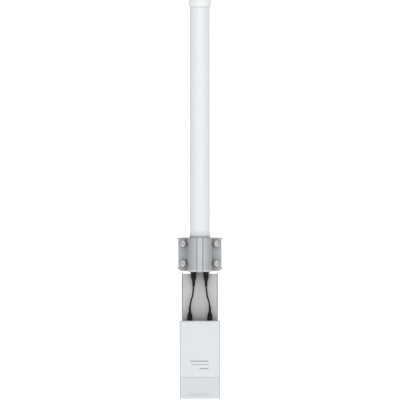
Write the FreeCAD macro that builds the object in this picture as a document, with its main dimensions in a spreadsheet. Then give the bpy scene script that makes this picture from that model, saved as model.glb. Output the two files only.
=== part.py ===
import FreeCAD, Part
import math
import os
import re
import Sketcher

# A dual-polarised pole-top omnidirectional antenna with its clip-on radio, in millimetres.
# The frame has its origin on the pole's axis, midway between the upper and lower clamp bolts.
# +Z is up and the front is towards -Y.

V = FreeCAD.Vector
DOC = FreeCAD.newDocument("omni_antenna")

SIZES = {
    # how far a cutter runs past the face that it opens
    "over": 1.0,
    # pole clamp
    "pole_radius": 24.15,
    "clamp_half": 36.0,
    "base_top": 32.2,
    "base_low": 34.6,
    "seat_face": 10.0,
    "wing_front": 18.0,
    "wing_half": 43.3,
    "wing_cut_wide": 5.0,
    "wing_cut_tall": 3.4,
    "bolt_x": 34.0,
    "bolt_z": 19.75,
    "bolt_radius": 4.0,
    "bolt_hole": 4.5,
    "bolt_end": 47.0,
    "hex_flats": 13.0,
    "head_height": 5.3,
    "nut_height": 6.5,
    "washer_radius": 8.0,
    "washer_thick": 1.6,
    "lock_radius": 6.4,
    "lock_thick": 2.0,
    "socket_radius": 11.0,
    "jaw_half": 42.0,
    "jaw_thick": 6.0,
    "jaw_flange_half": 45.25,
    "jaw_flange_deep": 13.0,
    "jaw_flange_thick": 2.5,
    "jaw_height_half": 31.3,
    "jaw_arch": 30.0,
    "jaw_rim": 33.5,
    "thread_gap": 0.05,
    "washer_gap": 0.2,
    "lock_split": 1.0,
    # cast base
    "axis_y": -50.0,
    "barrel_radius": 25.0,
    "barrel_bottom": -36.0,
    "barrel_round": 4.5,
    "web_round": 5.0,
    "rib_half": 5.3,
    "rib_front": 76.2,
    "groove_out": 6.5,
    "groove_floor": 73.0,
    "socket_floor": -20.0,
    "well_radius": 18.0,
    "well_floor": -28.2,
    # radome
    "tube_radius": 19.7,
    "tube_wall": 1.7,
    "tube_top": 504.7,
    "cap_radius": 22.0,
    "cap_low": 493.8,
    "cap_top": 508.2,
    "cap_round": 2.0,
    "plug_low": 495.5,
    "plug_radius": 17.8,
    "plug_wall": 3.0,
    "seal_line": 17.0,
    "seal_thick": 1.0,
    "seal_level": 498.5,
    "collar_radius": 20.5,
    "collar_top": 36.8,
    "notch_wide": 0.9,
    "notch_deep": 0.5,
    "sleeve_radius": 20.0,
    "sleeve_top": 43.7,
    # arrays inside the radome
    "board_half": 13.0,
    "board_thick": 0.8,
    "vertical_low": 8.0,
    "vertical_high": 248.0,
    "horizontal_low": 256.0,
    "horizontal_high": 488.0,
    "element_pitch": 28.0,
    "upright_rise": 16.0,
    "upright_near": 4.0,
    "upright_far": 11.0,
    "upright_tall": 10.0,
    "upright_step": 11.0,
    "bar_rise": 14.0,
    "bar_long": 11.5,
    "bar_tall": 4.0,
    "copper": 0.15,
    "spacer_radius": 17.8,
    "spacer_tall": 6.0,
    "spacer_rise_vertical": 9.5,
    "spacer_rise_horizontal": 2.0,
    "feed_way_near": 4.5,
    "feed_way_far": 7.5,
    "feed_way_deep": 3.2,
    "coax_radius": 1.1,
    # coaxial connectors, offsets counted from the panel face that they stand on
    "antenna_port_x": 12.5,
    "radio_port_x": 20.0,
    "thread_radius": 3.175,
    "thread_end": 9.7,
    "port_bore": 2.35,
    "port_floor": 2.7,
    "pin_radius": 0.6,
    "pin_end": 8.0,
    "port_flange": 5.0,
    "port_flange_thick": 2.0,
    "port_tail": 2.4,
    "antenna_port_tail": 0.5,
    "radio_port_tail": 8.0,
    "panel_nut_flats": 8.0,
    "panel_washer": 4.6,
    "panel_washer_thick": 0.6,
    "panel_nut_end": 2.6,
    "coupling_start": 3.2,
    "coupling_end": 11.7,
    "coupling_bore": 3.22,
    "coupling_floor": 10.2,
    "coupling_chamfer": 0.4,
    "spigot_radius": 2.2,
    "spigot_start": 4.0,
    "plug_flange_start": 9.75,
    "plug_flange_end": 10.1,
    "pin_gap": 0.15,
    "pin_well": 8.5,
    "neck_radius": 2.5,
    "crimp_radius": 2.2,
    "crimp_end": 17.0,
    "boot_start": 0.1,
    "boot_lip": 0.4,
    "boot_radius": 5.5,
    "boot_bore": 4.85,
    "boot_shoulder": 12.0,
    "boot_cone_end": 18.5,
    "boot_tail": 2.7,
    "boot_end": 28.8,
    "cable_radius": 1.6,
    "cable_start": 14.0,
    "cable_bend_high": -80.0,
    "cable_bend_low": -99.0,
    # radio bracket
    "sheet_thick": 1.5,
    "bracket_half": 36.0,
    "bracket_front": 30.0,
    "bracket_flange": 12.0,
    "bracket_top": -40.4,
    "flange_top": -38.4,
    "bracket_bottom": -250.0,
    "bend_round": 2.6,
    "lip_half": 19.0,
    "lip_front": 43.5,
    "lip_tongue_half": 6.0,
    "lip_screw_out": 14.0,
    "lip_screw_radius": 2.0,
    "lip_screw_head": 3.8,
    "lip_screw_deep": 6.4,
    "lip_screw_end": 5.2,
    "lip_drive_flats": 2.5,
    "lip_drive_deep": 1.6,
    "lug_high": -165.0,
    "lug_low": -222.0,
    "lug_radius": 2.5,
    "lug_head": 5.0,
    "lug_head_thick": 1.4,
    "keyhole_rise": 12.0,
    "keyhole_gap": 0.2,
    "snap_half": 6.5,
    "snap_slot": 1.2,
    "snap_low": -205.0,
    "snap_high": -186.0,
    # radio
    "radio_half": 40.5,
    "radio_front": 65.0,
    "radio_back": 35.0,
    "radio_seam": 42.0,
    "radio_top": -133.8,
    "radio_bottom": -290.8,
    "radio_wall": 2.5,
    "radio_round": 3.5,
    "cover_top": -246.2,
    "bay_top": -246.0,
    "bay_floor": -268.0,
    "bay_gap": 0.4,
    "bay_wall": 2.4,
    "pcb_front": 47.6,
    "pcb_thick": 1.6,
    "pcb_half": 34.5,
    "pcb_low": -263.0,
    "pcb_high": -141.0,
    "shield_half": 27.0,
    "shield_deep": 5.0,
    "shield_low": -214.0,
    "shield_high": -150.0,
    "shield_wall": 0.6,
    "jack_half": 8.0,
    "jack_front": 59.4,
    "jack_top": -247.0,
    "jack_mouth_half": 5.9,
    "jack_mouth_deep": 13.0,
    "jack_wall_front": 2.0,
    "jack_wall_back": 1.8,
    "jack_latch_half": 3.0,
    "contact_pitch": 1.02,
    "contact_thick": 0.4,
    "contact_low": 2.0,
    "contact_high": 11.0,
    "button_x": 17.0,
    "button_y": 54.0,
    "button_radius": 1.6,
    "button_travel": 0.8,
    "button_out": 1.0,
    "button_in": 6.0,
    "button_collar": 0.8,
    "button_gap": 0.1,
    "switch_half": 3.0,
    "switch_tall": 4.0,
    "grip_half": 23.0,
    "grip_tall": 0.6,
    "grip_deep": 0.5,
    "grip_low": -283.5,
    "grip_high": -279.5,
    "outlet_half": 9.0,
    "outlet_front": 58.5,
    "outlet_back": 44.5,
    "boss_x": 34.0,
    "boss_high": -142.0,
    "boss_low": -236.0,
    "boss_radius": 3.4,
    "boss_rim": 0.8,
    "boss_deep": 12.0,
    "pad_half": 22.0,
    "pad_low": -236.0,
    "pad_high": -150.0,
    "screw_radius": 1.25,
    "screw_head": 2.75,
    "screw_end": 11.0,
    "head_sink": 2.2,
    "head_low": 0.4,
    "drive_reach": 1.6,
    "drive_half": 0.3,
    "drive_deep": 1.4,
}

# how many of each repeated feature
NOTCHES = 40
ELEMENTS = 8
SPACERS_AFTER = (1, 4, 7)
CONTACTS = 8


def write_sheet():
    """The driving dimensions, one row each: the name, the number and the alias."""
    sheet = DOC.addObject("Spreadsheet::Sheet", "Sizes")
    for row, (alias, number) in enumerate(SIZES.items(), start=1):
        sheet.set(f"A{row}", alias)
        sheet.set(f"B{row}", str(number))
        sheet.setAlias(f"B{row}", alias)
    DOC.recompute()
    return sheet


SHEET = write_sheet()
KEPT = []


def refer(text):
    """The formula, with each driving dimension's name made a reference to its cell."""

    def named(word):
        return "Sizes." + word[0] if word[0] in SIZES else word[0]

    return re.sub(r"[a-z][a-z_]*", named, str(text))


def size(alias):
    return float(SHEET.get(alias))


def bind(thing, prop, text):
    thing.setExpression(prop, refer(text))


def both(text):
    """The pair of coordinates at equal distances each side of the middle."""
    return f"-({text})", text


def keep(piece, label):
    """Marks a finished sub-part, which is written to a file of this name."""
    piece.Label = label
    KEPT.append(piece)
    return piece


# ---- shapes -------------------------------------------------------------------------------------

TURNS = {
    "x": FreeCAD.Rotation(V(0, 1, 0), 90),
    "y": FreeCAD.Rotation(V(1, 0, 0), -90),
    "z": FreeCAD.Rotation(),
}


def place(thing, start, turn=FreeCAD.Rotation()):
    thing.Placement = FreeCAD.Placement(V(), turn)
    for letter, text in zip("xyz", start):
        bind(thing, "Placement.Base." + letter, text)


def box(name, x, y, z):
    """A box between a low and a high formula along each axis."""
    piece = DOC.addObject("Part::Box", name)
    place(piece, (x[0], y[0], z[0]))
    for side, (low, high) in zip(("Length", "Width", "Height"), (x, y, z)):
        bind(piece, side, f"({high}) - ({low})")
    return piece


def cylinder(name, radius, start, length, along="z"):
    piece = DOC.addObject("Part::Cylinder", name)
    place(piece, start, TURNS[along])
    bind(piece, "Radius", radius)
    bind(piece, "Height", length)
    return piece


def hexagon(name, flats, start, length, along="z"):
    """A hexagonal prism that stands on a corner when it lies along Y."""
    piece = DOC.addObject("Part::Prism", name)
    piece.Polygon = 6
    place(piece, start, TURNS[along] * FreeCAD.Rotation(V(0, 0, 1), 30))
    bind(piece, "Circumradius", f"({flats}) / sqrt(3)")
    bind(piece, "Height", length)
    return piece


def outline(body, name, plane, corners):
    """A closed polygon on one of the body's own planes, with both coordinates of each corner bound."""
    sketch = body.newObject("Sketcher::SketchObject", name)
    origin = next(feature for feature in body.Origin.OriginFeatures if feature.Role == plane)
    sketch.AttachmentSupport = [(origin, "")]
    sketch.MapMode = "FlatFace"
    count = len(corners)
    spots = [V(math.cos(math.tau * i / count), math.sin(math.tau * i / count), 0) for i in range(count)]
    for i in range(count):
        sketch.addGeometry(Part.LineSegment(spots[i], spots[(i + 1) % count]))
    for i in range(count):
        sketch.addConstraint(Sketcher.Constraint("Coincident", i, 2, (i + 1) % count, 1))
    for i, corner in enumerate(corners):
        for kind, at, text in zip(("DistanceX", "DistanceY"), (spots[i].x, spots[i].y), corner):
            index = sketch.addConstraint(Sketcher.Constraint(kind, -1, 1, i, 1, at))
            bind(sketch, f"Constraints[{index}]", text)
    return sketch


def turned(name, profile, start=(0, "axis_y", 0), along="z"):
    """A body turned about its own axis, from (radius, height) corners."""
    body = DOC.addObject("PartDesign::Body", name)
    place(body, start, TURNS[along])
    sketch = outline(body, name + "_profile", "XZ_Plane", profile)
    turn = body.newObject("PartDesign::Revolution", name + "_turn")
    turn.Profile = sketch
    turn.ReferenceAxis = (sketch, ["V_Axis"])
    turn.Angle = 360
    body.Tip = turn
    return body


def padded(name, plane, corners, length, start=(0, 0, 0)):
    """A body padded from a polygon on one of its planes."""
    body = DOC.addObject("PartDesign::Body", name)
    place(body, start)
    sketch = outline(body, name + "_outline", plane, corners)
    pad = body.newObject("PartDesign::Pad", name + "_pad")
    pad.Profile = sketch
    bind(pad, "Length", length)
    body.Tip = pad
    return body


def fused(name, parts):
    piece = DOC.addObject("Part::MultiFuse", name)
    piece.Shapes = parts
    piece.Refine = True
    return piece


def cut(name, base, tools):
    piece = DOC.addObject("Part::Cut", name)
    piece.Base = base
    piece.Tool = fused(name + "_tools", tools) if len(tools) > 1 else tools[0]
    piece.Refine = True
    return piece


def common(name, first, second):
    piece = DOC.addObject("Part::MultiCommon", name)
    piece.Shapes = [first, second]
    return piece


def mirrored(name, source, normal):
    piece = DOC.addObject("Part::Mirroring", name)
    piece.Source = source
    piece.Normal = normal
    return piece


def group(name, members):
    """One node of separate solids."""
    piece = DOC.addObject("Part::Compound", name)
    piece.Links = members
    return piece


def four(name, source):
    """The source and its copies in the other three corners of the clamp."""
    across = mirrored(name + "_across", source, V(1, 0, 0))
    below = [mirrored(f"{name}_below_{i}", one, V(0, 0, 1)) for i, one in enumerate((source, across))]
    return group(name, [source, across] + below)


def rounded(name, base, radius, chosen):
    """The base with the chosen edges rounded; chosen is asked about each edge's bounding box."""
    DOC.recompute()
    amount = size(radius)
    piece = DOC.addObject("Part::Fillet", name)
    piece.Base = base
    piece.Edges = [
        (i, amount, amount) for i, edge in enumerate(base.Shape.Edges, start=1) if chosen(edge.BoundBox)
    ]
    return piece


def at(value, *targets):
    """Whether a coordinate is at one of the targets."""
    return any(abs(value - target) < 0.001 for target in targets)


# ---- round cables -------------------------------------------------------------------------------


def route_line(points):
    """Straight runs joined by tangent arcs, each as large as its two runs allow."""
    edges, last = [], points[0]
    for before, corner, after in zip(points, points[1:], points[2:]):
        inward, outward = before - corner, after - corner
        half_turn = (math.pi - inward.getAngle(outward)) / 2
        reach = 0.45 * min(inward.Length, outward.Length)
        radius = reach / math.tan(half_turn)
        inward.normalize()
        outward.normalize()
        first, second = corner + inward * reach, corner + outward * reach
        middle = (inward + outward).normalize()
        top = corner + middle * (radius / math.cos(half_turn) - radius)
        edges += [Part.LineSegment(last, first).toShape(), Part.Arc(first, top, second).toShape()]
        last = second
        print(f"arc radius {radius:.1f} mm")
    edges.append(Part.LineSegment(last, points[-1]).toShape())
    return Part.Wire(edges)


def cable(name, points, radius):
    """A round cable along the route, as one solid."""
    wire = route_line([V(*point) for point in points])
    start = wire.Vertexes[0].Point
    ring = Part.Wire(Part.Circle(start, V(*points[1]) - V(*points[0]), radius).toShape())
    piece = DOC.addObject("Part::Feature", name)
    piece.Shape = wire.makePipeShell([ring], True, False)
    piece.Placement = FreeCAD.Placement()
    expected = math.pi * radius**2 * wire.Length
    print(f"{name}: volume {piece.Shape.Volume:.1f} mm3, section times length {expected:.1f} mm3")
    return keep(piece, name)


# ---- radome and arrays --------------------------------------------------------------------------


def make_radome():
    wall = "tube_radius - tube_wall"
    tube = [
        (wall, "socket_floor"),
        ("tube_radius", "socket_floor"),
        ("tube_radius", "tube_top"),
        (wall, "tube_top"),
    ]
    keep(turned("radome_tube", tube), "radome_tube")

    groove = "seal_line - seal_thick"
    cap = [
        (0, "tube_top"),
        ("plug_radius - plug_wall", "tube_top"),
        ("plug_radius - plug_wall", "plug_low"),
        ("plug_radius", "plug_low"),
        ("plug_radius", "seal_level - seal_thick"),
        (groove, "seal_level - seal_thick"),
        (groove, "seal_level + seal_thick"),
        ("plug_radius", "seal_level + seal_thick"),
        ("plug_radius", "tube_top"),
        ("tube_radius", "tube_top"),
        ("tube_radius", "cap_low"),
        ("cap_radius", "cap_low"),
        ("cap_radius", "cap_top"),
        (0, "cap_top"),
    ]
    body = turned("top_cap", cap)
    DOC.recompute()
    blank = body.Tip
    rim = body.newObject("PartDesign::Fillet", "top_cap_rim")
    edges = body.Shape.Edges
    names = [
        f"Edge{i}"
        for i, edge in enumerate(edges, start=1)
        if at(edge.BoundBox.ZMin, size("cap_top")) and at(edge.BoundBox.ZMax, size("cap_top"))
    ]
    rim.Base = (blank, names)
    bind(rim, "Radius", "cap_round")
    body.Tip = rim
    keep(body, "top_cap")

    seal = DOC.addObject("Part::Torus", "cap_seal")
    place(seal, (0, "axis_y", "seal_level"))
    bind(seal, "Radius1", "seal_line")
    bind(seal, "Radius2", "seal_thick")
    keep(seal, "cap_seal")

    sleeve = [
        ("tube_radius", "collar_top"),
        ("sleeve_radius", "collar_top"),
        ("sleeve_radius", "sleeve_top"),
        ("tube_radius", "sleeve_top"),
    ]
    keep(turned("foot_sleeve", sleeve), "foot_sleeve")


def make_collar():
    ring = [
        ("tube_radius", "base_top"),
        ("collar_radius", "base_top"),
        ("collar_radius", "collar_top"),
        ("tube_radius", "collar_top"),
    ]
    body = turned("base_collar", ring)
    DOC.recompute()
    whole = body.Shape.Volume
    low, high = both("notch_wide / 2")
    near, far = "collar_radius - notch_deep", "collar_radius + over"
    notch = outline(body, "collar_notch", "XY_Plane", [(near, low), (far, low), (far, high), (near, high)])
    bind(notch, "AttachmentOffset.Base.z", "base_top")
    pocket = body.newObject("PartDesign::Pocket", "collar_pocket")
    pocket.Profile = notch
    bind(pocket, "Length", "collar_top - base_top")
    pocket.Reversed = True
    DOC.recompute()
    around = body.newObject("PartDesign::PolarPattern", "collar_pattern")
    around.Originals = [pocket]
    around.Axis = (notch, ["N_Axis"])
    around.Angle = 360
    around.Occurrences = NOTCHES
    body.Tip = around
    DOC.recompute()
    if body.Shape.Volume > 0.99 * whole:
        raise RuntimeError("the collar's notches cut nothing")
    keep(body, "base_collar")


def make_array(name, low, high):
    half = "board_thick / 2"
    board = box(name, both("board_half"), (f"axis_y - {half}", f"axis_y + {half}"), (low, high))
    keep(board, name)


def make_elements():
    """Copper on the boards: upright pairs on the lower board, cross bars on the upper one."""
    half = "board_thick / 2"
    faces = (
        (f"axis_y - {half} - copper", f"axis_y - {half}"),
        (f"axis_y + {half}", f"axis_y + {half} + copper"),
    )
    upright, level = [], []
    for i in range(ELEMENTS):
        foot = f"vertical_low + upright_rise + {i} * element_pitch"
        bar = f"horizontal_low + bar_rise + {i} * element_pitch"
        for side, depth in enumerate(faces):
            low = f"{foot} + {side} * upright_step"
            across, tall = ("upright_near", "upright_far"), (low, f"{low} + upright_tall")
            upright.append(box(f"upright_{i}_{side}", across, depth, tall))
            near = f"-{side} * bar_long"
            across, tall = (near, f"{near} + bar_long"), (bar, f"{bar} + bar_tall")
            level.append(box(f"level_{i}_{side}", across, depth, tall))
    keep(group("vertical_radiators", upright), "vertical_radiators")
    keep(group("horizontal_radiators", level), "horizontal_radiators")


def make_spacers():
    """Foam discs that hold the boards in the middle of the tube and let the long feed past."""
    discs = []
    starts = [
        f"{array}_low + {rise} * element_pitch + spacer_rise_{array}"
        for array in ("vertical", "horizontal")
        for rise in SPACERS_AFTER
    ]
    for i, start in enumerate(starts):
        disc = cylinder(f"spacer_disc_{i}", "spacer_radius", (0, "axis_y", start), "spacer_tall")
        span = (start, f"{start} + spacer_tall")
        card = ("axis_y - board_thick / 2", "axis_y + board_thick / 2")
        slot = box(f"spacer_slot_{i}", both("board_half"), card, span)
        way = ("axis_y", "axis_y + feed_way_deep")
        hole = box(f"spacer_hole_{i}", ("-feed_way_far", "-feed_way_near"), way, span)
        discs.append(cut(f"spacer_{i}", disc, [slot, hole]))
    keep(group("array_spacers", discs), "array_spacers")


def make_feeds():
    axis, top = size("axis_y"), size("well_floor") + size("port_flange_thick") + size("antenna_port_tail")
    radius, out = size("coax_radius"), size("antenna_port_x")
    skin = size("board_thick") / 2 + radius
    short = [
        (out, axis, top),
        (out, axis, top + 12),
        (7, axis - skin, top + 28),
        (7.5, axis - skin, top + 44),
    ]
    long = [
        (-out, axis, top),
        (-out, axis, top + 12),
        (-6, axis + skin + 0.2, top + 30),
        (-6.2, axis + skin + 0.2, size("horizontal_low") + 8),
    ]
    cable("feed_coax_vertical", short, radius)
    cable("feed_coax_horizontal", long, radius)


# ---- cast base and pole clamp -------------------------------------------------------------------


def ports(x):
    return (("left", f"-({x})"), ("right", x))


def corners():
    """The clamp's four bolt places, as a name and two formulas."""
    return [
        (f"{side}_{level}", x, z)
        for side, x in ports("bolt_x")
        for level, z in (("low", "-bolt_z"), ("high", "bolt_z"))
    ]


def make_base():
    barrel = cylinder(
        "barrel", "barrel_radius", (0, "axis_y", "barrel_bottom"), "base_top - barrel_bottom"
    )
    rib = box("barrel_rib", both("rib_half"), ("-rib_front", "axis_y"), ("barrel_bottom", "base_top"))
    drum = fused("drum", [barrel, rib])
    bottom = size("barrel_bottom")
    soft = rounded(
        "soft_drum",
        drum,
        "barrel_round",
        lambda edge: at(edge.ZMin, bottom)
        and at(edge.ZMax, bottom)
        and edge.YMax < 0
        and edge.XLength > 20,
    )
    block = box("rear_block", both("barrel_radius"), ("axis_y", "-seat_face"), ("-base_low", "base_top"))
    wide, tall = "wing_cut_wide", "wing_cut_tall"
    plate = [
        (f"{x}(wing_half - {dx})", z)
        for x, z, dx in (
            ("-", f"{tall} - base_low", 0),
            ("-", "-base_low", wide),
            ("", "-base_low", wide),
            ("", f"{tall} - base_low", 0),
            ("", f"base_top - {tall}", 0),
            ("", "base_top", wide),
            ("-", "base_top", wide),
            ("-", f"base_top - {tall}", 0),
        )
    ]
    wings = padded("wings", "XZ_Plane", plate, "wing_front - seat_face", (0, "-seat_face", 0))
    back = fused("back", [block, wings])
    side, front = size("barrel_radius"), -size("wing_front")
    webbed = rounded(
        "webbed_back",
        back,
        "web_round",
        lambda edge: edge.XLength < 0.001
        and at(abs(edge.XMin), side)
        and at(edge.YMin, front)
        and at(edge.YMax, front),
    )
    casting = fused("casting", [soft, webbed])
    socket, well = (0, "axis_y", "socket_floor"), (0, "axis_y", "well_floor")
    seat = (0, 0, "-clamp_half - over")
    tools = [
        cylinder("tube_socket", "tube_radius", socket, "base_top - socket_floor + over"),
        cylinder("cable_well", "well_radius", well, "socket_floor - well_floor + over"),
        cylinder("pole_seat", "pole_radius", seat, "2 * clamp_half + 2 * over"),
    ]
    for name, x, z in corners():
        start = (x, "-wing_front - over", z)
        tools.append(cylinder("bolt_way_" + name, "bolt_hole", start, "wing_front", "y"))
        start, deep = (x, "-rib_front", z), "rib_front - wing_front"
        tools.append(cylinder("socket_way_" + name, "socket_radius", start, deep, "y"))
    for name, x in ports("antenna_port_x"):
        start, deep = (x, "axis_y", "barrel_bottom - over"), "well_floor - barrel_bottom + 2 * over"
        tools.append(cylinder("port_way_" + name, "thread_radius", start, deep))
    for name, y in (("front", "axis_y - lip_screw_out"), ("rear", "axis_y + lip_screw_out")):
        start = (0, y, "barrel_bottom - over")
        tools.append(cylinder("screw_way_" + name, "lip_screw_radius", start, "lip_screw_deep + over"))
    for name, low, high in (("left", "-groove_out", "-rib_half"), ("right", "rib_half", "groove_out")):
        depth, tall = ("-rib_front - over", "-groove_floor"), ("barrel_bottom - over", "base_top + over")
        tools.append(box("rib_groove_" + name, (low, high), depth, tall))
    keep(cut("base_housing", casting, tools), "base_housing")


def make_jaw():
    face, flange = "seat_face", "jaw_height_half - jaw_flange_thick"
    plate = box("jaw_plate", both("jaw_half"), (face, f"{face} + jaw_thick"), both("jaw_height_half"))
    arch = cylinder("jaw_arch", "jaw_arch", (0, 0, "-jaw_height_half"), "2 * jaw_height_half")
    parts = [plate, arch]
    for name, low, high in (
        ("low", "-jaw_height_half", f"-({flange})"),
        ("high", flange, "jaw_height_half"),
    ):
        depth = (face, f"{face} + jaw_flange_deep")
        parts.append(box("jaw_flange_" + name, both("jaw_flange_half"), depth, (low, high)))
        parts.append(cylinder("jaw_rim_" + name, "jaw_rim", (0, 0, low), "jaw_flange_thick"))
    solid = fused("jaw_solid", parts)
    tools = [
        cylinder("jaw_seat", "pole_radius", (0, 0, "-clamp_half"), "2 * clamp_half"),
        box("jaw_front", both("jaw_flange_half"), ("-jaw_rim - over", face), both("clamp_half")),
    ]
    for name, x, z in corners():
        tools.append(cylinder("jaw_way_" + name, "bolt_hole", (x, 0, z), "jaw_rim", "y"))
    keep(cut("pole_jaw", solid, tools), "pole_jaw")


def hex_profile(radius, low, high, bore, chamfer=0.6):
    """A chamfered outline that, cut to a hexagon, gives a nut or a bolt head."""
    return [
        (bore, low),
        (f"({radius}) - {chamfer}", low),
        (radius, f"({low}) + {chamfer} / 2"),
        (radius, f"({high}) - {chamfer} / 2"),
        (f"({radius}) - {chamfer}", high),
        (bore, high),
    ]


def make_fasteners():
    spot, corner = ("bolt_x", 0, "bolt_z"), "hex_flats / sqrt(3)"
    face = "-wing_front - head_height"
    head = common(
        "bolt_head",
        turned("bolt_head_turned", hex_profile(corner, face, "-wing_front", 0), spot, "y"),
        hexagon("bolt_head_hex", "hex_flats", ("bolt_x", face, "bolt_z"), "head_height", "y"),
    )
    shank = turned(
        "bolt_shank",
        [
            (0, "-wing_front"),
            ("bolt_radius", "-wing_front"),
            ("bolt_radius", "bolt_end - 1"),
            ("bolt_radius - 1", "bolt_end"),
            (0, "bolt_end"),
        ],
        spot,
        "y",
    )
    keep(four("clamp_bolts", fused("bolt", [head, shank])), "clamp_bolts")

    start, bore = "seat_face + jaw_thick", "bolt_radius + washer_gap"
    profile = ring_profile(bore, "washer_radius", start, "washer_thick")
    flat = turned("jaw_washer", profile, spot, "y")
    keep(four("jaw_washers", flat), "jaw_washers")
    start += " + washer_thick"
    profile = ring_profile(bore, "lock_radius", start, "lock_thick")
    lock_ring = turned("lock_ring", profile, spot, "y")
    gap = box(
        "lock_gap",
        ("bolt_x - lock_split / 2", "bolt_x + lock_split / 2"),
        (start, f"{start} + lock_thick"),
        ("bolt_z", "bolt_z + lock_radius + over"),
    )
    keep(four("jaw_lock_washers", cut("lock_washer", lock_ring, [gap])), "jaw_lock_washers")
    start += " + lock_thick"
    profile = hex_profile(corner, start, f"{start} + nut_height", "bolt_radius + thread_gap")
    nut = common(
        "jaw_nut",
        turned("jaw_nut_turned", profile, spot, "y"),
        hexagon("jaw_nut_hex", "hex_flats", ("bolt_x", start, "bolt_z"), "nut_height", "y"),
    )
    keep(four("jaw_nuts", nut), "jaw_nuts")


def ring_profile(inner, outer, start, thick):
    end = f"{start} + {thick}"
    return [(inner, start), (outer, start), (outer, end), (inner, end)]


# ---- radio bracket ------------------------------------------------------------------------------


def keyhole(name, level):
    """A slot for a lug's neck, with the round hole above it that lets the lug's head in."""
    depth = "sheet_thick + 2 * over"
    front = "-bracket_front - over"
    through = (front, "-bracket_front + sheet_thick + over")
    rise = f"({level}) + keyhole_rise"
    return [
        cylinder(name + "_entry", "lug_head + keyhole_gap", (0, front, rise), depth, "y"),
        cylinder(name + "_seat", "lug_radius + keyhole_gap", (0, front, level), depth, "y"),
        box(name + "_slot", both("lug_radius + keyhole_gap"), through, (level, rise)),
    ]


def make_bracket():
    sheet = ("-bracket_front", "-bracket_front + sheet_thick")
    web = box("bracket_web", both("bracket_half"), sheet, ("bracket_bottom", "bracket_top"))
    parts = [web]
    for name, low, high in (
        ("left", "-bracket_half", "-bracket_half + sheet_thick"),
        ("right", "bracket_half - sheet_thick", "bracket_half"),
    ):
        depth = ("-bracket_front", "-bracket_front + bracket_flange")
        parts.append(box("bracket_flange_" + name, (low, high), depth, ("bracket_bottom", "flange_top")))
    channel = fused("channel", parts)
    side, front = size("bracket_half"), -size("bracket_front")
    bent = rounded(
        "bent_channel",
        channel,
        "bend_round",
        lambda edge: edge.ZLength > 50
        and at(abs(edge.XMin), side)
        and at(edge.YMin, front)
        and at(edge.YMax, front),
    )
    tongue = box("bracket_tongue", both("lip_half"), sheet, ("bracket_top - over", "barrel_bottom"))
    lip_span = ("barrel_bottom - sheet_thick", "barrel_bottom")
    lip = box("bracket_lip", both("lip_half"), ("-lip_front", "-bracket_front + sheet_thick"), lip_span)
    out, half = "axis_y - lip_screw_out", "lip_tongue_half"
    finger = box("bracket_finger", both(half), (out, "-lip_front"), lip_span)
    nose = cylinder("bracket_nose", half, (0, out, lip_span[0]), "sheet_thick")
    whole = fused("bracket_whole", [bent, tongue, lip, finger, nose])
    tools = keyhole("keyhole_high", "lug_high") + keyhole("keyhole_low", "lug_low")
    through = ("-bracket_front - over", "-bracket_front + sheet_thick + over")
    for name, low, high, top in (
        ("left", "-snap_half", "snap_slot - snap_half", "snap_high"),
        ("right", "snap_half - snap_slot", "snap_half", "snap_high"),
        ("foot", "-snap_half", "snap_half", "snap_low + snap_slot"),
    ):
        tools.append(box("snap_" + name, (low, high), through, ("snap_low", top)))
    for name, y in (("front", "axis_y - lip_screw_out"), ("rear", "axis_y + lip_screw_out")):
        tools.append(turned("lip_sink_" + name, sink_profile(), (0, y, "barrel_bottom")))
    keep(cut("radio_bracket", whole, tools), "radio_bracket")


def sink_profile():
    """The countersunk head's cone, from the sheet's underside to its top."""
    return [
        (0, "-sheet_thick"),
        ("lip_screw_head", "-sheet_thick"),
        ("lip_screw_radius", 0),
        (0, 0),
    ]


def make_bracket_screws():
    screws = []
    for name, y in (("front", "axis_y - lip_screw_out"), ("rear", "axis_y + lip_screw_out")):
        profile = sink_profile()[:3]
        profile += [("lip_screw_radius", "lip_screw_end"), (0, "lip_screw_end")]
        shank = turned("lip_screw_" + name, profile, (0, y, "barrel_bottom"))
        face = (0, y, "barrel_bottom - sheet_thick - over")
        drive = hexagon("lip_drive_" + name, "lip_drive_flats", face, "lip_drive_deep + over")
        screws.append(cut("bracket_screw_" + name, shank, [drive]))
    keep(group("bracket_screws", screws), "bracket_screws")


# ---- coaxial connectors and jumpers -------------------------------------------------------------


class Panel:
    """A face that a pair of connectors stands on: its level, the way they point and their spacing."""

    def __init__(self, name, level, way, out, flange_gap, tail):
        self.name, self.level, self.way = name, level, way
        self.out, self.flange_gap, self.tail = out, flange_gap, tail

    def off(self, text):
        return f"({self.level}) + ({self.way}) * ({text})"

    def offsets(self, profile):
        """The profile's heights counted from this face, in the way that its connectors point."""
        return [(radius, self.off(height)) for radius, height in profile]

    def sides(self):
        return ports(self.out)


ANTENNA = Panel(
    "antenna", "barrel_bottom", -1, "antenna_port_x", "well_floor - barrel_bottom", "antenna_port_tail"
)
RADIO = Panel("radio", "radio_top", 1, "radio_port_x", "radio_wall", "radio_port_tail")


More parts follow.
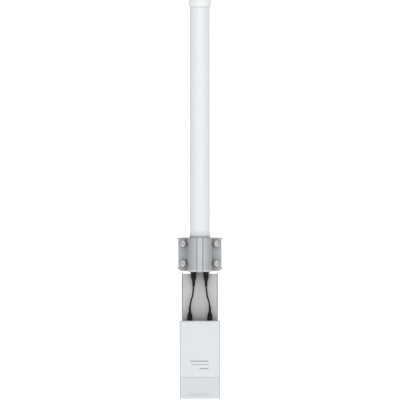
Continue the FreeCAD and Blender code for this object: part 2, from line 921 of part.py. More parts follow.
def make_ports(panel):
    """The two screw-on sockets of one panel, with the washers and nuts that hold them."""
    behind = f"-({panel.flange_gap})"
    shells, washers, nuts = [], [], []
    for side, x in panel.sides():
        spot, name = (x, "axis_y", 0), f"{panel.name}_{side}"
        profile = [
            (0, f"{behind} - port_flange_thick - {panel.tail}"),
            ("port_tail", f"{behind} - port_flange_thick - {panel.tail}"),
            ("port_tail", f"{behind} - port_flange_thick"),
            ("port_flange", f"{behind} - port_flange_thick"),
            ("port_flange", behind),
            ("thread_radius", behind),
            ("thread_radius", "thread_end"),
            ("port_bore", "thread_end"),
            ("port_bore", "port_floor"),
            ("pin_radius", "port_floor"),
            ("pin_radius", "pin_end"),
            (0, "pin_end"),
        ]
        shells.append(turned("port_" + name, panel.offsets(profile), spot))
        ring = ring_profile("thread_radius + thread_gap", "panel_washer", "0", "panel_washer_thick")
        washers.append(turned("washer_" + name, panel.offsets(ring), spot))
        corner, bore = "panel_nut_flats / sqrt(3)", "thread_radius + thread_gap"
        outer = hex_profile(corner, "panel_washer_thick", "panel_nut_end", bore, 0.3)
        round_nut = turned("nut_round_" + name, panel.offsets(outer), spot)
        start = "panel_washer_thick" if panel.way > 0 else "panel_nut_end"
        foot, tall = (x, "axis_y", panel.off(start)), "panel_nut_end - panel_washer_thick"
        block = hexagon("nut_hex_" + name, "panel_nut_flats", foot, tall)
        nuts.append(common("nut_" + name, round_nut, block))
    keep(group(panel.name + "_connectors", shells), panel.name + "_connectors")
    return washers, nuts


def make_plugs(panel):
    """Each jumper end on this panel: the plug, its turning coupling nut and the rubber boot."""
    for side, x in panel.sides():
        spot, name = (x, "axis_y", 0), f"{panel.name}_{side}"
        plug = [
            (0, "coupling_end"),
            (0, "cable_start"),
            ("cable_radius", "cable_start"),
            ("cable_radius", "crimp_end"),
            ("crimp_radius", "crimp_end"),
            ("crimp_radius", "boot_shoulder"),
            ("neck_radius", "boot_shoulder"),
            ("neck_radius", "plug_flange_end"),
            ("thread_radius - thread_gap", "plug_flange_end"),
            ("thread_radius - thread_gap", "plug_flange_start"),
            ("spigot_radius", "plug_flange_start"),
            ("spigot_radius", "spigot_start"),
            ("pin_radius + pin_gap", "spigot_start"),
            ("pin_radius + pin_gap", "pin_well"),
            (0, "pin_well"),
        ]
        keep(turned("plug_" + name, panel.offsets(plug), spot), "plug_" + name)

        corner = "panel_nut_flats / sqrt(3)"
        nut = [
            ("coupling_bore", "coupling_start"),
            (f"{corner} - coupling_chamfer", "coupling_start"),
            (corner, "coupling_start + coupling_chamfer"),
            (corner, "coupling_end - coupling_chamfer"),
            (f"{corner} - coupling_chamfer", "coupling_end"),
            ("neck_radius + thread_gap", "coupling_end"),
            ("neck_radius + thread_gap", "coupling_floor"),
            ("coupling_bore", "coupling_floor"),
        ]
        start = "coupling_start" if panel.way > 0 else "coupling_end"
        foot = (x, "axis_y", panel.off(start))
        turned_nut = turned("coupling_round_" + name, panel.offsets(nut), spot)
        block = hexagon("coupling_hex_" + name, "panel_nut_flats", foot, "coupling_end - coupling_start")
        keep(common("coupling_nut_" + name, turned_nut, block), "coupling_nut_" + name)

        boot = [
            ("boot_bore", "boot_start"),
            ("boot_radius - boot_lip", "boot_start"),
            ("boot_radius", "boot_start + 2 * boot_lip"),
            ("boot_radius", "boot_shoulder"),
            ("boot_tail", "boot_cone_end"),
            ("boot_tail", "boot_end"),
            ("cable_radius", "boot_end"),
            ("cable_radius", "crimp_end"),
            ("crimp_radius", "crimp_end"),
            ("crimp_radius", "boot_shoulder"),
            ("boot_bore", "boot_shoulder"),
        ]
        keep(turned("boot_" + name, panel.offsets(boot), spot), "boot_" + name)


def make_jumpers():
    """The two short cables, each straight out of one boot, across, and straight into the other."""
    axis = size("axis_y")
    high = size("barrel_bottom") - size("cable_start")
    low = size("radio_top") + size("cable_start")
    for name, sign in (("left", -1), ("right", 1)):
        inner, outer = sign * size("antenna_port_x"), sign * size("radio_port_x")
        route = [
            (inner, axis, high),
            (inner, axis, size("cable_bend_high")),
            (outer, axis, size("cable_bend_low")),
            (outer, axis, low),
        ]
        cable("jumper_cable_" + name, route, size("cable_radius"))


# ---- radio --------------------------------------------------------------------------------------


def boss_spots():
    return [(x, z) for _, x in ports("boss_x") for z in ("boss_high", "boss_low")]


def case_half(name, face, way):
    """The outer blocks and the hollows of half the radio's case; way points from its face to the seam."""

    def layer(part, inset, low, high):
        near, far = f"{face} + ({way}) * ({inset})", "-radio_seam"
        depth = (near, far) if way > 0 else (far, near)
        return box(f"{name}_{part}", both(f"radio_half - ({inset})"), depth, (low, high))

    plane, low, top = -size(face.strip("-")), size("bay_top"), size("radio_top")
    soft = rounded(
        name + "_soft",
        layer("outer", "0", "bay_top", "radio_top"),
        "radio_round",
        lambda edge: (at(edge.YMin, plane) and at(edge.YMax, plane) and edge.ZMax > low + 1)
        or (edge.YLength > 1 and at(edge.ZMin, top)),
    )
    inner = "radio_wall + bay_gap + bay_wall"
    bay = layer("bay", "radio_wall + bay_gap", "bay_floor", "bay_top + over")
    hollow = layer("hollow", "radio_wall", "bay_top + 2 * over", "radio_top - radio_wall")
    bay_hollow = layer("bay_hollow", inner, "bay_floor + bay_wall", "bay_top + 3 * over")
    return [soft, bay], [hollow, bay_hollow]


def make_front_shell():
    blocks, hollows = case_half("front", "-radio_front", 1)
    opened = cut("front_open", fused("front_solid", blocks), hollows)
    inside = "-radio_front + radio_wall"
    posts, tools = [], []
    for i, (x, z) in enumerate(boss_spots()):
        posts.append(cylinder(f"post_{i}", "boss_radius", (x, inside, z), f"-radio_seam - ({inside})", "y"))
        start = (x, "-radio_seam - boss_deep", z)
        tools.append(cylinder(f"post_hole_{i}", "screw_radius", start, "boss_deep", "y"))
    for side, x in ports("radio_port_x"):
        start = (x, "axis_y", "radio_top - radio_wall - over")
        tools.append(cylinder("radio_port_way_" + side, "thread_radius", start, "radio_wall + 2 * over"))
    below = "bay_floor - over"
    tools.append(box("jack_way", both("jack_half"), ("-jack_front", "-pcb_front"), (below, "jack_top")))
    spot = ("button_x", "-button_y", below)
    tools.append(cylinder("button_way", "button_radius + thread_gap", spot, "bay_wall + 2 * over"))
    keep(cut("radio_front_shell", fused("front_posted", [opened] + posts), tools), "radio_front_shell")


def make_rear_shell():
    blocks, hollows = case_half("rear", "-radio_back", -1)
    blocks.append(
        box("rear_pad", both("pad_half"), ("-radio_back - over", "-bracket_front"), ("pad_low", "pad_high"))
    )
    reach = "sheet_thick + button_gap"
    for name, level in (("high", "lug_high"), ("low", "lug_low")):
        blocks.append(cylinder("neck_" + name, "lug_radius", (0, "-bracket_front", level), reach, "y"))
        head_start = (0, f"-bracket_front + {reach}", level)
        blocks.append(cylinder("lug_head_" + name, "lug_head", head_start, "lug_head_thick", "y"))
    opened = cut("rear_open", fused("rear_solid", blocks), hollows)
    deep = "radio_seam - radio_back"
    posts, tools = [], []
    for i, (x, z) in enumerate(boss_spots()):
        start, wide = (x, "-radio_seam", z), "boss_radius + boss_rim"
        posts.append(cylinder(f"rear_post_{i}", wide, start, f"{deep} - over", "y"))
        start = (x, "-radio_seam - over", z)
        tools.append(cylinder(f"rear_hole_{i}", "screw_radius", start, f"{deep} + 2 * over", "y"))
        start = (x, "-radio_back - head_sink", z)
        tools.append(cylinder(f"head_recess_{i}", "screw_head", start, "head_sink + over", "y"))
    keep(cut("radio_rear_shell", fused("rear_posted", [opened] + posts), tools), "radio_rear_shell")


def make_shell_screws():
    screws = []
    head = "-radio_back - head_sink"
    for i, (x, z) in enumerate(boss_spots()):
        profile = [
            (0, "-radio_seam - screw_end"),
            ("screw_radius", "-radio_seam - screw_end"),
            ("screw_radius", head),
            ("screw_head", head),
            ("screw_head", "-radio_back - head_low"),
            (0, "-radio_back - head_low"),
        ]
        shank = turned(f"shell_screw_turned_{i}", profile, (x, 0, z), "y")
        depth = ("-radio_back - drive_deep", "-radio_back")
        cross = []
        for n, (wide, tall) in enumerate((("drive_reach", "drive_half"), ("drive_half", "drive_reach"))):
            across, up = (f"{x} - {wide}", f"{x} + {wide}"), (f"{z} - {tall}", f"{z} + {tall}")
            cross.append(box(f"drive_{i}_{n}", across, depth, up))
        screws.append(cut(f"shell_screw_{i}", shank, cross))
    keep(group("shell_screws", screws), "shell_screws")


def make_port_cover():
    inner = "radio_half - radio_wall"
    depth = ("-radio_front", "-radio_back")
    outer = box("cover_outer", both("radio_half"), depth, ("radio_bottom", "cover_top"))
    faces = -size("radio_front"), -size("radio_back")
    bottom, top = size("radio_bottom"), size("cover_top")
    soft = rounded(
        "cover_soft",
        outer,
        "radio_round",
        lambda edge: (at(edge.YMin, *faces) and edge.YLength < 1 and edge.ZMin < top - 1)
        or (edge.YLength > 1 and at(edge.ZMax, bottom)),
    )
    room = ("-radio_front + radio_wall", "-radio_back - radio_wall")
    hollow = box("cover_hollow", both(inner), room, ("radio_bottom + radio_wall", "cover_top + over"))
    outlet = box(
        "cable_outlet",
        both("outlet_half"),
        ("-outlet_front", "-outlet_back"),
        ("radio_bottom - over", "radio_bottom + radio_wall + over"),
    )
    end = size("outlet_half")
    soft_outlet = rounded(
        "soft_outlet", outlet, "radio_round", lambda edge: edge.ZLength > 1 and at(abs(edge.XMin), end)
    )
    tools = [hollow, soft_outlet]
    for name, level in (("low", "grip_low"), ("high", "grip_high")):
        depth = ("-radio_front - over", "-radio_front + grip_deep")
        tools.append(box("grip_groove_" + name, both("grip_half"), depth, (level, f"{level} + grip_tall")))
    keep(cut("port_cover", soft, tools), "port_cover")


def make_radio_inside():
    board = ("-pcb_front", "-pcb_front + pcb_thick")
    card = box("circuit_card", both("pcb_half"), board, ("pcb_low", "pcb_high"))
    ways = []
    for i, (x, z) in enumerate(boss_spots()):
        start, wide = (x, "-pcb_front - over", z), "boss_radius + washer_gap"
        ways.append(cylinder(f"card_way_{i}", wide, start, "pcb_thick + 2 * over", "y"))
    keep(cut("radio_circuit_board", card, ways), "radio_circuit_board")

    can = box(
        "shield_outer",
        both("shield_half"),
        ("-pcb_front - shield_deep", "-pcb_front"),
        ("shield_low", "shield_high"),
    )
    inside = box(
        "shield_inside",
        both("shield_half - shield_wall"),
        ("-pcb_front - shield_deep + shield_wall", "-pcb_front"),
        ("shield_low + shield_wall", "shield_high - shield_wall"),
    )
    keep(cut("rf_shield", can, [inside]), "rf_shield")

    jack = box("jack_outer", both("jack_half"), ("-jack_front", "-pcb_front"), ("bay_floor", "jack_top"))
    tall = ("bay_floor - over", "bay_floor + jack_mouth_deep")
    front, back = "-jack_front + jack_wall_front", "-pcb_front - jack_wall_back"
    mouth = box("jack_mouth", both("jack_mouth_half"), (front, back), tall)
    latch_way = box("jack_latch_way", both("jack_latch_half"), (f"{front} - over", f"{front} + over"), tall)
    keep(cut("ethernet_jack", jack, [mouth, latch_way]), "ethernet_jack")
    wires = []
    for i in range(CONTACTS):
        middle = f"({i} - {(CONTACTS - 1) / 2}) * contact_pitch"
        wires.append(
            box(
                f"contact_{i}",
                (f"{middle} - contact_thick / 2", f"{middle} + contact_thick / 2"),
                (f"{back} - contact_thick", back),
                ("bay_floor + contact_low", "bay_floor + contact_high"),
            )
        )
    keep(group("ethernet_contacts", wires), "ethernet_contacts")


def make_button():
    stop = "bay_floor + bay_wall + button_gap"
    wide = "button_radius + button_collar"
    profile = [
        (0, "bay_floor - button_out"),
        ("button_radius", "bay_floor - button_out"),
        ("button_radius", stop),
        (wide, stop),
        (wide, f"{stop} + button_collar"),
        ("button_radius", f"{stop} + button_collar"),
        ("button_radius", "bay_floor + button_in"),
        (0, "bay_floor + button_in"),
    ]
    keep(turned("reset_button", profile, ("button_x", "-button_y", 0)), "reset_button")
    top = "bay_floor + button_in + button_travel + button_gap"
    wide = ("button_x - switch_half", "button_x + switch_half")
    depth = ("-button_y - switch_half", "-pcb_front")
    keep(box("reset_switch", wide, depth, (top, f"{top} + switch_tall")), "reset_switch")


def make_all():
    make_radome()
    make_collar()
    make_array("vertical_array_board", "vertical_low", "vertical_high")
    make_array("horizontal_array_board", "horizontal_low", "horizontal_high")
    make_elements()
    make_spacers()
    make_feeds()
    make_base()
    make_jaw()
    make_fasteners()
    make_bracket()
    make_bracket_screws()
    washers, nuts = [], []
    for panel in (ANTENNA, RADIO):
        more_washers, more_nuts = make_ports(panel)
        washers += more_washers
        nuts += more_nuts
        make_plugs(panel)
    keep(group("connector_washers", washers), "connector_washers")
    keep(group("connector_nuts", nuts), "connector_nuts")
    make_jumpers()
    make_front_shell()
    make_rear_shell()
    make_shell_screws()
    make_port_cover()
    make_radio_inside()
    make_button()
    DOC.recompute()


def check_all():
    """Stops on any object that failed, and on any sub-part with no valid solid."""
    faults = [thing.Name for thing in DOC.Objects if {"Invalid", "Error"} & set(thing.State)]
    faults += [piece.Label for piece in KEPT if piece.Shape.isNull() or not piece.Shape.isValid()]
    faults += [piece.Label for piece in KEPT if not piece.Shape.isNull() and not piece.Shape.Solids]
    if faults:
        raise RuntimeError("these failed: " + ", ".join(faults))


def write_all():
    os.makedirs("parts", exist_ok=True)
    for piece in KEPT:
        piece.Shape.exportStep(f"parts/{piece.Label}.step")


make_all()
check_all()
write_all()
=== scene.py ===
import math

import bmesh
import bpy
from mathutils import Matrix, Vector


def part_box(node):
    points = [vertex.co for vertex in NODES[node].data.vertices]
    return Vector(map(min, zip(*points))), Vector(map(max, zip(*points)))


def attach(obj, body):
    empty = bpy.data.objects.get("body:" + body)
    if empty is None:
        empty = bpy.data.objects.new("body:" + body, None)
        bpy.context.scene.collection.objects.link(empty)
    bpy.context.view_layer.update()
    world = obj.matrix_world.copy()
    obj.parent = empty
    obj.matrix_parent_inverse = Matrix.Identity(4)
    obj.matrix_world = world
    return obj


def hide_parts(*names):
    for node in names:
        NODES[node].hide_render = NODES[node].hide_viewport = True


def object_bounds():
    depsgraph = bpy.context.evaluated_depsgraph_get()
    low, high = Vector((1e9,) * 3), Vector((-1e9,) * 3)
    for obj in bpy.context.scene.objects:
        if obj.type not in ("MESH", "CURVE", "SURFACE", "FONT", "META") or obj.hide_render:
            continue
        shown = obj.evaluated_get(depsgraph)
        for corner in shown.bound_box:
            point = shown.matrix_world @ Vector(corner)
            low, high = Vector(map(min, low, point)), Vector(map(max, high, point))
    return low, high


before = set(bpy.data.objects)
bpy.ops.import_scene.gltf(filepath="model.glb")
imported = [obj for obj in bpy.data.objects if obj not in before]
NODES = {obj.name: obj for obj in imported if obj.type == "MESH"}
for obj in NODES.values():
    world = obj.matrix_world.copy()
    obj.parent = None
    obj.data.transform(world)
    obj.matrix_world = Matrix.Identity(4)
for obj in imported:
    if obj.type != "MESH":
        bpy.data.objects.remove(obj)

# An omnidirectional antenna on its pole clamp, with the clip-on radio and its two jumper cables.
# Metres. The origin is on the pole's axis, midway between the clamp's upper and lower bolts, +Z is
# up and the front is towards -Y.

CAD_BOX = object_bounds()
MM = 0.001

# the radome's and the sockets' distance in front of the pole's axis, and where the sockets stand
AXIS_Y = -50 * MM
ANTENNA_PORT_X, RADIO_PORT_X = 12.5 * MM, 20 * MM
ANTENNA_FACE, RADIO_FACE = -36.0 * MM, -133.8 * MM


# ---- camera -------------------------------------------------------------------------------------

# a level view from the front, far enough away to be almost without perspective
CAMERA_AWAY = 9.0
CAMERA_X, CAMERA_Z = 0.0003, 0.1076
CAMERA_SENSOR = 36.0
VIEW_HALF_WIDTH = 0.4

camera_data = bpy.data.cameras.new("camera")
camera_data.sensor_width = CAMERA_SENSOR
camera_data.lens = CAMERA_SENSOR / 2 * CAMERA_AWAY / VIEW_HALF_WIDTH
camera_data.clip_start, camera_data.clip_end = 0.1, 50.0
camera = bpy.data.objects.new("camera", camera_data)
camera.location = (CAMERA_X, AXIS_Y - CAMERA_AWAY, CAMERA_Z)
camera.rotation_euler = (math.radians(90), 0, 0)
bpy.context.scene.collection.objects.link(camera)
bpy.context.scene.camera = camera


# ---- materials ----------------------------------------------------------------------------------

def shade(colour, factor):
    """A colour made lighter or darker, with alpha 1."""
    return tuple(min(1.0, c * factor) for c in colour) + (1.0,)


class Nodes:
    """A small helper that adds nodes to a material and links them."""

    def __init__(self, name):
        self.material = bpy.data.materials.new(name)
        self.material.use_nodes = True
        self.tree = self.material.node_tree
        self.tree.nodes.clear()
        self.shader = self.add("ShaderNodeBsdfPrincipled")
        output = self.add("ShaderNodeOutputMaterial")
        self.link(self.shader.outputs["BSDF"], output.inputs["Surface"])
        self.where = self.add("ShaderNodeTexCoord").outputs["Object"]

    def add(self, kind, **settings):
        node = self.tree.nodes.new(kind)
        for key, value in settings.items():
            setattr(node, key, value)
        return node

    def link(self, source, target):
        self.tree.links.new(source, target)

    def feed(self, target, value):
        """Links a socket, or sets a plain value."""
        if isinstance(value, bpy.types.NodeSocket):
            self.link(value, target)
        else:
            target.default_value = value

    def noise(self, scale, detail=3.0, rough=0.55, stretch=(1, 1, 1)):
        place = self.add("ShaderNodeMapping")
        place.inputs["Scale"].default_value = stretch
        self.link(self.where, place.inputs["Vector"])
        node = self.add("ShaderNodeTexNoise")
        self.link(place.outputs["Vector"], node.inputs["Vector"])
        node.inputs["Scale"].default_value = scale
        node.inputs["Detail"].default_value = detail
        node.inputs["Roughness"].default_value = rough
        return node.outputs["Fac"]

    def cells(self, scale):
        node = self.add("ShaderNodeTexVoronoi", feature="F1")
        self.link(self.where, node.inputs["Vector"])
        node.inputs["Scale"].default_value = scale
        return node.outputs["Distance"]

    def spread(self, value, low, high, start=0.3, end=0.7):
        """Stretches a value in start...end to low...high."""
        node = self.add("ShaderNodeMapRange", clamp=True)
        for name, number in (("From Min", start), ("From Max", end), ("To Min", low), ("To Max", high)):
            node.inputs[name].default_value = number
        self.link(value, node.inputs["Value"])
        return node.outputs["Result"]

    def maths(self, kind, first, second):
        node = self.add("ShaderNodeMath", operation=kind)
        self.feed(node.inputs[0], first)
        self.feed(node.inputs[1], second)
        return node.outputs[0]

    def mix(self, factor, first, second):
        """Mixes two colours. The node's colour sockets are 6 and 7, and its colour output is 2."""
        node = self.add("ShaderNodeMix", data_type="RGBA")
        self.feed(node.inputs["Factor"], factor)
        self.feed(node.inputs[6], first)
        self.feed(node.inputs[7], second)
        return node.outputs[2]

    def painted_shade_in_recesses(self, reach, darkest, deep=0.25, shallow=0.95):
        """1 on open faces, down to the given value deep in corners: painted shade where less light
        reaches.
        """
        node = self.add("ShaderNodeAmbientOcclusion", samples=8)
        node.inputs["Distance"].default_value = reach
        return self.spread(node.outputs["AO"], darkest, 1.0, deep, shallow)

    def painted_shade_on_sides(self, start, end, darkest):
        """1 on faces to the front and back, down to the given value on faces to either side: painted
        shade, as side faces get less light.
        """
        normal = self.add("ShaderNodeSeparateXYZ")
        self.link(self.add("ShaderNodeTexCoord").outputs["Normal"], normal.inputs[0])
        sideways = self.maths("ABSOLUTE", normal.outputs["X"], 0.0)
        return self.spread(sideways, 1.0, darkest, start, end)

    def edges(self, radius):
        """The rounded normal near edges, and a mask that is 1 on them."""
        bevel = self.add("ShaderNodeBevel", samples=4)
        bevel.inputs["Radius"].default_value = radius
        geometry = self.add("ShaderNodeNewGeometry")
        dot = self.add("ShaderNodeVectorMath", operation="DOT_PRODUCT")
        self.link(bevel.outputs["Normal"], dot.inputs[0])
        self.link(geometry.outputs["Normal"], dot.inputs[1])
        mask = self.spread(dot.outputs["Value"], 1.0, 0.0, 0.80, 0.985)
        return bevel.outputs["Normal"], mask


def surface(
    name,
    colour,
    rough,
    metal=0.0,
    grain=900.0,
    stretch=(1, 1, 1),
    bump=0.00002,
    cloud=14.0,
    vary=0.03,
    rough_vary=0.06,
    edge=0.0004,
    wear=None,
    wear_amount=0.5,
    pits=None,
    coat=0.0,
    level=0.5,
    sheen=0.0,
    recess_shade=None,
    side_shade=None,
):
    """A finish with fine grain, cloudy colour and gloss, soft edges and wear along them, and where
    asked, painted shade in recesses and on faces to the sides.
    """
    nodes = Nodes(name)
    shader = nodes.shader
    fine = nodes.noise(grain, 4.0, 0.6, stretch)
    broad = nodes.noise(cloud, 3.0, 0.5)
    both = nodes.maths("ADD", nodes.maths("MULTIPLY", fine, 0.45), nodes.maths("MULTIPLY", broad, 0.55))
    clouds = nodes.spread(both, 0.0, 1.0, 0.38, 0.62)
    paint = nodes.mix(clouds, shade(colour, 1 - vary), shade(colour, 1 + vary))
    gloss = nodes.spread(both, rough - rough_vary, rough + rough_vary, 0.35, 0.65)
    normal, mask = nodes.edges(edge)
    if wear:
        patchy = nodes.maths("MULTIPLY", mask, nodes.spread(nodes.noise(grain * 0.18), 0.0, wear_amount))
        paint = nodes.mix(patchy, paint, tuple(wear) + (1.0,))
        gloss = nodes.maths("SUBTRACT", gloss, nodes.maths("MULTIPLY", patchy, 0.12))
    # painted shade: the colour is darkened towards black in recesses and on faces to the sides
    for shade_mask in (recess_shade and nodes.painted_shade_in_recesses(*recess_shade), side_shade and nodes.painted_shade_on_sides(*side_shade)):
        if shade_mask:
            paint = nodes.mix(shade_mask, shade(colour, 0.0), paint)
    height = fine
    if pits:
        height = nodes.maths("ADD", fine, nodes.spread(nodes.cells(pits), 0.0, 1.0, 0.05, 0.45))
    relief = nodes.add("ShaderNodeBump")
    relief.inputs["Strength"].default_value = 1.0
    relief.inputs["Distance"].default_value = bump
    nodes.link(height, relief.inputs["Height"])
    nodes.link(normal, relief.inputs["Normal"])
    nodes.link(paint, shader.inputs["Base Color"])
    nodes.link(gloss, shader.inputs["Roughness"])
    nodes.link(relief.outputs["Normal"], shader.inputs["Normal"])
    shader.inputs["Metallic"].default_value = metal
    shader.inputs["Coat Weight"].default_value = coat
    shader.inputs["Specular IOR Level"].default_value = level
    shader.inputs["Sheen Weight"].default_value = sheen
    return nodes.material


WHITE_WORN = (0.93, 0.93, 0.93)
BARE = (0.78, 0.78, 0.77)
FINISHES = {
    # the radome's recess setting is painted shade where the tube meets the cap and the collar
    "radome": surface(
        "radome", (0.832, 0.859, 0.882), 0.34, grain=700, stretch=(1, 1, 0.06), bump=0.000006,
        vary=0.012, rough_vary=0.05, edge=0.0003, wear=WHITE_WORN, wear_amount=0.3, coat=0.15,
        recess_shade=(0.005, 0.35),
    ),
    # a greyer copy of the radome's white on the foot sleeve: painted shade above the collar
    "radome_foot": surface(
        "radome_foot", (0.76, 0.775, 0.79), 0.36, grain=900, bump=0.00001, vary=0.02, edge=0.0001,
        wear=WHITE_WORN, wear_amount=0.3, coat=0.1,
    ),
    "cap_plastic": surface(
        "cap_plastic", (0.885, 0.895, 0.90), 0.42, grain=1500, bump=0.00001, vary=0.015,
        edge=0.0006, wear=WHITE_WORN, wear_amount=0.3,
    ),
    "seal_rubber": surface("seal_rubber", (0.03, 0.03, 0.03), 0.6, grain=2500, vary=0.2, sheen=0.2),
    "collar_grey": surface(
        "collar_grey", (0.62, 0.625, 0.63), 0.55, grain=2200, bump=0.00002, vary=0.08,
        wear=(0.55, 0.55, 0.55), wear_amount=0.4,
    ),
    "circuit_board": surface(
        "circuit_board", (0.02, 0.15, 0.06), 0.35, grain=1800, bump=0.000012, vary=0.16, coat=0.4,
        wear=(0.55, 0.5, 0.3), wear_amount=0.5,
    ),
    "copper": surface(
        "copper", (0.82, 0.42, 0.24), 0.3, metal=1.0, grain=1600, bump=0.000006, vary=0.08,
        wear=(0.95, 0.6, 0.42), edge=0.0001,
    ),
    "foam": surface("foam", (0.84, 0.84, 0.8), 0.85, grain=1400, bump=0.00006, vary=0.05, pits=1100),
    "coax_jacket": surface("coax_jacket", (0.28, 0.13, 0.05), 0.38, grain=1500, vary=0.1),
    # painted shade on the casting: darker near the barrel, round the bolts and on its side faces
    "cast_base": surface(
        "cast_base", (0.56, 0.578, 0.595), 0.46, metal=0.25, grain=1700, bump=0.00005, vary=0.05,
        rough_vary=0.07, edge=0.0007, wear=BARE, wear_amount=0.4, pits=1500, recess_shade=(0.06, 0.5),
        side_shade=(0.35, 0.9, 0.7),
    ),
    # painted shade round the bolt heads, washers and nuts
    "zinc_steel": surface(
        "zinc_steel", (0.47, 0.475, 0.485), 0.36, metal=0.75, grain=1900, bump=0.000015, vary=0.07,
        rough_vary=0.08, edge=0.00012, wear=(0.74, 0.74, 0.75), wear_amount=0.6, recess_shade=(0.006, 0.55),
    ),
    # painted shade on the bracket: under the base, above the radio and on its bent sides
    "bracket_steel": surface(
        "bracket_steel", (0.59, 0.595, 0.60), 0.42, metal=0.75, grain=520, stretch=(1, 1, 0.035),
        bump=0.000025, cloud=30, vary=0.06, rough_vary=0.1, edge=0.0006, wear=BARE, wear_amount=0.5,
        recess_shade=(0.06, 0.3, 0.15, 1.0), side_shade=(0.15, 0.7, 0.5),
    ),
    "nickel_brass": surface(
        "nickel_brass", (0.72, 0.69, 0.62), 0.24, metal=1.0, grain=2400, bump=0.000006, vary=0.05,
        edge=0.0002, wear=(0.8, 0.66, 0.38), wear_amount=0.35,
    ),
    "cable_jacket": surface(
        "cable_jacket", (0.006, 0.006, 0.007), 0.46, grain=1500, stretch=(1, 1, 0.3), bump=0.00002,
        vary=0.3, level=0.22,
    ),
    # painted shade on the radio's side faces and rounded edges, in both its finishes
    "radio_plastic": surface(
        "radio_plastic", (0.755, 0.78, 0.80), 0.46, grain=2600, bump=0.000018, cloud=9, vary=0.014,
        rough_vary=0.04, edge=0.0011, wear=WHITE_WORN, wear_amount=0.2, side_shade=(0.15, 0.7, 0.82),
    ),
    "radio_cover": surface(
        "radio_cover", (0.70, 0.724, 0.743), 0.46, grain=2600, bump=0.000018, cloud=9, vary=0.014,
        rough_vary=0.04, edge=0.0011, wear=WHITE_WORN, wear_amount=0.2, side_shade=(0.15, 0.7, 0.82),
    ),
    "tin_shield": surface(
        "tin_shield", (0.72, 0.72, 0.7), 0.3, metal=1.0, grain=1500, stretch=(1, 1, 0.15), vary=0.05,
        bump=0.000008,
    ),
    "jack_plastic": surface("jack_plastic", (0.02, 0.02, 0.02), 0.45, grain=2200, vary=0.2),
    "gold": surface("gold", (0.95, 0.72, 0.28), 0.22, metal=1.0, grain=2500, vary=0.05, edge=0.0001),
    "button_plastic": surface("button_plastic", (0.05, 0.05, 0.055), 0.45, grain=2200, vary=0.15),
    "boot_rubber": surface(
        "boot_rubber", (0.005, 0.005, 0.006), 0.5, grain=2000, bump=0.00003, vary=0.3,
        wear=(0.035, 0.035, 0.037), wear_amount=0.6, edge=0.0002, level=0.2, sheen=0.02,
    ),
}
PRINT_INK = surface(
    "print_ink", (0.14, 0.14, 0.15), 0.6, grain=2600, bump=0.000008, vary=0.1, edge=0.00005,
)

# ---- mesh code ----------------------------------------------------------------------------------

def piece(name, bm, body, slot_name, smooth=True):
    """Turns mesh code's result into a piece that rides on a body."""
    bmesh.ops.recalc_face_normals(bm, faces=bm.faces)
    mesh = bpy.data.meshes.new(name)
    bm.to_mesh(mesh)
    bm.free()
    if smooth:
        mesh.shade_smooth()
        mesh.set_sharp_from_angle(angle=math.radians(35))
    made = bpy.data.objects.new(name, mesh)
    bpy.context.scene.collection.objects.link(made)
    mesh.materials.append(FINISHES[slot_name])
    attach(made, body)
    return made


def turned(bm, spot, along, stations, segments):
    """Skins rings round an axis square to X. Each station is (distance, radius), and a radius may be
    a function of the angle and the distance."""
    along = Vector(along)
    side = Vector((1, 0, 0))
    up = along.cross(side)
    rings = []
    for distance, radius in stations:
        ring = []
        for step in range(segments):
            angle = 2 * math.pi * step / segments
            reach = radius(angle, distance) if callable(radius) else radius
            offset = side * math.cos(angle) * reach + up * math.sin(angle) * reach
            ring.append(bm.verts.new(Vector(spot) + along * distance + offset))
        rings.append(ring)
    for first, second in zip(rings, rings[1:]):
        join(bm, first, second)
    return rings


def join(bm, first, second):
    """Skins the band between two rings of one count."""
    count = len(first)
    for step in range(count):
        after = (step + 1) % count
        bm.faces.new((first[step], first[after], second[after], second[step]))


# ---- clamp bolts --------------------------------------------------------------------------------

BOLT_X, BOLT_Z = 34 * MM, 19.75 * MM
HEAD_FLATS, HEAD_TURN = 13 * MM, math.pi / 2
FACE_RADIUS, CHAMFER_SLOPE = HEAD_FLATS / 2 * 0.93, math.tan(math.radians(62))
HEAD_FACE, WING_FACE = -23.3 * MM, -18 * MM
SHANK_RADIUS, NECK_RADIUS, COLLAR_RADIUS = 4 * MM, 3.95 * MM, 5.9 * MM
THREAD_PITCH, THREAD_DEEP, THREAD_STEPS = 1.25 * MM, 0.62 * MM, 8
THREAD_START, BOLT_END = 4 * MM, 47 * MM
BOLT_SEGMENTS = 36


def head_radius(angle, distance):
    """A bolt head's reach: a hexagon standing on a corner, under a flat cone."""
    sixth = math.pi / 3
    hexagon = HEAD_FLATS / 2 / math.cos((angle - HEAD_TURN) % sixth - sixth / 2)
    return min(hexagon, FACE_RADIUS + (distance - HEAD_FACE) * CHAMFER_SLOPE)


def thread_radius(angle, distance):
    """The helix's ridge at an angle and a distance along the bolt. It fades in over the first two
    turns and is turned away at the bolt's end."""
    turn = (distance / THREAD_PITCH - angle / (2 * math.pi)) % 1.0
    ridge = abs(2 * turn - 1)
    flat = min(1.0, max(0.0, (ridge - 0.12) / 0.76))
    run_in = min(1.0, max(0.0, (distance - THREAD_START) / (2 * THREAD_PITCH)))
    lead = min(1.0, max(0.0, (BOLT_END - distance) / THREAD_PITCH))
    deep = THREAD_DEEP * flat * run_in
    return SHANK_RADIUS - 0.03 * MM - max(deep, THREAD_DEEP * (1 - lead))


